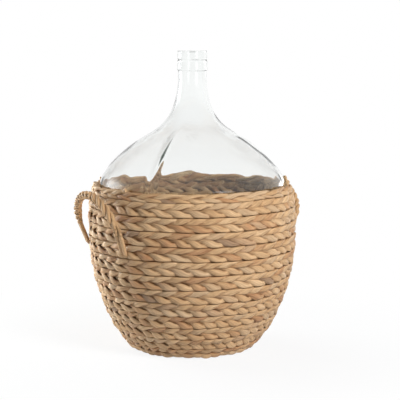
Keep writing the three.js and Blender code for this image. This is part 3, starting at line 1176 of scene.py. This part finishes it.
def hang_lamps(stage):
    """Lamps that light the straw, and cards that only gloss and glass show."""
    toward, right = compass(stage)
    middle = Vector((0.0, 0.0, 0.25))
    day = (0.97, 0.98, 1.0)
    cool = (0.92, 0.98, 1.0)

    # Name, degrees round from the camera, distance, height, breadth, tallness, watts, tone,
    # whether it is a card, and whether it shows through glass
    lamps = (
        ("key_box", 40.0, 2.6, 2.0, 1.0, 1.0, stage.key_power, day, False, False),
        ("left_box", -130.0, 1.7, 0.38, 1.6, 0.76, stage.left_power, cool, False, False),
        ("left_card", -110.0, 1.8, 0.55, 1.8, 1.4, stage.left_card, cool, True, False),
        ("right_card", 140.0, 1.8, 0.25, 0.9, 0.5, stage.right_card, WHITE, True, True),
        ("neck_card", 36.0, 1.8, 0.45, 1.0, 0.8, stage.neck_card, WHITE, True, True),
    )
    for name, swing, away, height, wide, tall, power, tone, card, through in lamps:
        turn = math.radians(swing)
        place = (toward * math.cos(turn) + right * math.sin(turn)) * away
        place.z = height
        lamp = bpy.data.lights.new(name, "AREA")
        lamp.shape = "RECTANGLE"
        lamp.size = wide
        lamp.size_y = tall
        lamp.energy = power
        lamp.color = tone
        if card:
            soft_edges(lamp)
        holder = placed(name, lamp)
        holder.location = place
        holder.rotation_euler = (middle - place).to_track_quat("-Z", "Y").to_euler()
        holder.visible_diffuse = not card
        holder.visible_glossy = card
        holder.visible_transmission = through


def set_camera(stage):
    """Camera that sees what the photo shows."""
    toward, _ = compass(stage)
    view = bpy.data.cameras.new("photo_view")
    view.sensor_width = SENSOR_WIDTH
    view.sensor_fit = "HORIZONTAL"
    view.lens = stage.focal
    camera = placed("photo_view", view)
    camera.location = toward * stage.distance + Vector((0.0, 0.0, stage.height))
    facing = stage.heading + math.pi - stage.yaw
    camera.rotation_euler = (math.pi / 2 - stage.pitch, 0.0, facing - math.pi / 2)
    return camera


# Operators


class DEMIJOHN_OT_bottle(bpy.types.Operator):
    """Turns the glass bottle"""

    bl_idname = "demijohn.bottle"
    bl_label = "Glass bottle"

    def execute(self, context):
        bottle, basket, _, finish, _ = settings()
        mesh = lathe("bottle_glass", bottle_outline(bottle, basket), bottle.sides)
        mould(mesh, bottle)
        mesh.materials.append(glass_material("clear_glass", finish, bottle))
        piece = placed("bottle_glass", mesh)
        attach(piece, "bottle")
        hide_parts("glass_bottle")
        return {"FINISHED"}


class DEMIJOHN_OT_wall(bpy.types.Operator):
    """Twines the rows of the basket wall"""

    bl_idname = "demijohn.wall"
    bl_label = "Basket wall"

    def execute(self, context):
        _, basket, _, finish, _ = settings()
        wall = WallLine(basket)
        pitch = (wall.length - basket.rim_band) / WALL_ROWS
        tree = twined_tree()
        straw = straw_material("wall_straw", finish, painted_shade=0.7)
        lower = pitch * 2 * basket.lower_share
        upper = pitch * 2 - lower

        def row(i):
            """Lower or upper row of a plait; the lowest row of all lies nearly flat."""
            start = (i - i % 2) * pitch
            if i % 2:
                middle = start + lower + upper / 2
                return row_values(wall, basket, middle, upper / 2, 1.0, i, girth=upper / pitch)
            turn, swing = (-1.0, 1.0) if i else (-0.15, 0.5)
            middle = start + lower / 2
            girth = lower / pitch
            return row_values(wall, basket, middle, lower / 2, turn, i, girth=girth, swing=swing)

        for first in range(0, WALL_ROWS, ROWS_PER_PIECE):
            picked = range(first, first + ROWS_PER_PIECE)
            name = "wall_rows_%02d_%02d" % (first + 1, first + ROWS_PER_PIECE)
            piece = twined(name, tree, basket, [row(i) for i in picked], straw, {})
            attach(piece, "basket")
            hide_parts(*["weft_row_%02d" % (i + 1) for i in picked])
        return {"FINISHED"}


class DEMIJOHN_OT_rim(bpy.types.Operator):
    """Twines the border at the rim"""

    bl_idname = "demijohn.rim"
    bl_label = "Rim border"

    def execute(self, context):
        _, basket, _, finish, _ = settings()
        wall = WallLine(basket)
        low = wall.length - basket.rim_band
        half = basket.rim_band / 2
        rows = [
            row_values(
                wall, basket, low + half * 0.5, half * 0.58, -1.0, WALL_ROWS, looseness=1.2
            ),
            row_values(
                wall, basket, low + half * 1.42, half * 0.76, 1.0, WALL_ROWS + 1,
                looseness=2.2, girth=1.1, columns=STAKE_COUNT * 3 // 4,
            ),
        ]
        straw = straw_material("rim_straw", finish, painted_shade=0.7)
        piece = twined("rim_rows", twined_tree(), basket, rows, straw, {
            "Facets": 10,
            "Strand Width": basket.strand_width * 0.74,
            "Swing Out": basket.swing_out * 0.9,
            "Climb": basket.climb * 0.8,
            "Groove": basket.groove * 0.5,
            "Drift": basket.drift * 1.6,
            "Seed": basket.seed + RIM_SEED,
        })
        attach(piece, "basket")
        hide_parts("rim_border")
        return {"FINISHED"}


class DEMIJOHN_OT_ends(bpy.types.Operator):
    """Leaves a few straw ends standing on the rim"""

    bl_idname = "demijohn.ends"
    bl_label = "Loose straw ends"

    def execute(self, context):
        _, basket, _, finish, _ = settings()
        root = basket.belly_height + basket.rim_rise - END_ROOT
        middle = basket.rim_radius - basket.wall_depth / 2
        lines = []
        for turn, rise, lean, sweep in LOOSE_ENDS:
            line = []
            for i in range(END_STEPS + 1):
                t = i / END_STEPS
                ring = middle + lean * t * t
                swing = math.radians(turn) + sweep * t * t / middle
                height = root + (rise + END_ROOT) * t
                line.append((ring * math.cos(swing), ring * math.sin(swing), height))
            lines.append(line)
        piece = grown("rim_ends", loose_end_tree(), line_mesh("rim_ends", lines), {
            "Straw Width": basket.strand_depth * 1.5,
            "Straw Depth": basket.strand_depth,
            "Straw": straw_material("end_straw", finish, 1.0),
        })
        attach(piece, "basket")
        return {"FINISHED"}


class DEMIJOHN_OT_base(bpy.types.Operator):
    """Twines the flat base mat round the spokes"""

    bl_idname = "demijohn.base"
    bl_label = "Base mat"

    def execute(self, context):
        _, basket, _, finish, _ = settings()
        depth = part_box("stakes")[0].z + BASE_COVER
        pitch = (basket.foot_radius - BASE_GAP - BASE_INNER) / (BASE_ROWS - 1)
        rows = []
        for i in range(BASE_ROWS):
            ring = BASE_INNER + pitch * i
            rows.append({
                "ring": ring, "height": depth / 2, "half": pitch / 2, "lean": math.pi / 2,
                "turn": 1.0 if i % 2 else -1.0, "row": FIRST_BASE_ROW + i,
                "columns": next(count for least, count in BASE_COLUMNS if ring > least),
                "girth": 1.0, "looseness": 0.5, "swing": 1.0,
            })
        straw = straw_material("base_straw", finish)
        piece = twined("base_rows", twined_tree(), basket, rows, straw, {
            "Points per Row": STAKE_COUNT * 8,
            "Facets": 8,
            "Strand Width": pitch * 1.15,
            "Strand Depth": depth * 0.5,
            "Swing Out": depth * 0.24,
            "Climb": basket.climb * 0.5,
            "Groove": basket.groove * 0.5,
            "Drift": 0.0,
            "Seed": basket.seed + BASE_SEED,
        })
        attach(piece, "basket")
        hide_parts("base_mat")
        return {"FINISHED"}


class DEMIJOHN_OT_stakes(bpy.types.Operator):
    """Sets the flat stakes between the strands"""

    bl_idname = "demijohn.stakes"
    bl_label = "Stakes"

    def execute(self, context):
        _, basket, _, finish, _ = settings()
        wall = WallLine(basket)
        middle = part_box("stakes")[0].z / 2 + SPOKE_RISE
        line = [(ring, 0.0, middle) for ring in SPOKE_MARKS]
        top = wall.length - basket.rim_band * 0.4
        for i in range(1, STAKE_STEPS + 1):
            ring, height, _ = wall.at(top * i / STAKE_STEPS, basket.stake_bed)
            if height > middle and ring > SPOKE_MARKS[-1]:
                line.append((ring, 0.0, height))
        piece = grown("stake_ribs", stake_tree(), line_mesh("stake_ribs", [line]), {
            "Count": STAKE_COUNT,
            "Stake Width": basket.stake_width,
            "Stake Depth": basket.stake_depth,
            "Seed": basket.seed + STAKE_SEED,
            "Straw": straw_material("stake_straw", finish, 1.0),
        })
        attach(piece, "basket")
        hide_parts("stakes")
        return {"FINISHED"}


class DEMIJOHN_OT_handles(bpy.types.Operator):
    """Lays the two rope handles"""

    bl_idname = "demijohn.handles"
    bl_label = "Rope handles"

    def execute(self, context):
        _, basket, handles, finish, _ = settings()
        tree = rope_tree()
        straw = straw_material("handle_straw", finish)
        square = Vector((math.cos(handles.lean), 0.0, -math.sin(handles.lean)))
        for side, turn in (("left", handles.left_turn), ("right", handles.right_turn)):
            name = "rope_handle_" + side
            piece = grown(name, tree, line_mesh(name, [arch_points(handles, turn)]), {
                "Strands": 3,
                "Points": 240,
                "Facets": 10,
                "Rope Radius": handles.rope_radius,
                "Turns": handles.turns,
                "Twist Start": 0.15,
                "Twist End": 0.9,
                "Out Way": Matrix.Rotation(turn, 3, "Z") @ square,
                "Seed": basket.seed + ROPE_SEED,
                "Straw": straw,
            })
            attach(piece, "handle_" + side)
            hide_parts("handle_" + side)
        return {"FINISHED"}


class DEMIJOHN_OT_stage(bpy.types.Operator):
    """Sets the floor, the lamps and the camera"""

    bl_idname = "demijohn.stage"
    bl_label = "Floor, lamps and camera"

    def execute(self, context):
        *_, stage = settings()
        scene = context.scene
        scene.view_settings.view_transform = "Standard"
        signs = ((-1, -1), (1, -1), (1, 1), (-1, 1))
        corners = [(x * FLOOR_HALF, y * FLOOR_HALF, 0.0) for x, y in signs]
        mesh = plain_mesh("floor", corners, faces=[(0, 1, 2, 3)])
        mesh.materials.append(floor_material("floor_white", stage))
        placed("floor", mesh)
        scene.world = white_room(stage)
        hang_lamps(stage)
        scene.camera = set_camera(stage)
        return {"FINISHED"}


class DEMIJOHN_PT_panel(bpy.types.Panel):
    """Lists the pieces in the sidebar"""

    bl_idname = "DEMIJOHN_PT_panel"
    bl_label = "Wicker demijohn"
    bl_space_type = "VIEW_3D"
    bl_region_type = "UI"
    bl_category = "Demijohn"

    def draw(self, context):
        for operator in OPERATORS:
            self.layout.operator(operator.bl_idname)
        for group in settings():
            box = self.layout.box()
            for key in group.bl_rna.properties.keys():
                if key not in ("rna_type", "name"):
                    box.prop(group, key)


GROUPS = {
    "demijohn_bottle": DemijohnBottle,
    "demijohn_basket": DemijohnBasket,
    "demijohn_handles": DemijohnHandles,
    "demijohn_finish": DemijohnFinish,
    "demijohn_stage": DemijohnStage,
}
OPERATORS = (
    DEMIJOHN_OT_stage,
    DEMIJOHN_OT_bottle,
    DEMIJOHN_OT_wall,
    DEMIJOHN_OT_rim,
    DEMIJOHN_OT_ends,
    DEMIJOHN_OT_base,
    DEMIJOHN_OT_stakes,
    DEMIJOHN_OT_handles,
)
CLASSES = (*GROUPS.values(), *OPERATORS, DEMIJOHN_PT_panel)


def register():
    for item in CLASSES:
        bpy.utils.register_class(item)
    for key, group in GROUPS.items():
        setattr(bpy.types.Scene, key, PointerProperty(type=group))


def unregister():
    for key in GROUPS:
        delattr(bpy.types.Scene, key)
    for item in reversed(CLASSES):
        bpy.utils.unregister_class(item)


def main():
    register()
    bpy.ops.demijohn.stage()
    bpy.ops.demijohn.bottle()
    bpy.ops.demijohn.wall()
    bpy.ops.demijohn.rim()
    bpy.ops.demijohn.ends()
    bpy.ops.demijohn.base()
    bpy.ops.demijohn.stakes()
    bpy.ops.demijohn.handles()


if __name__ == "__main__":
    main()
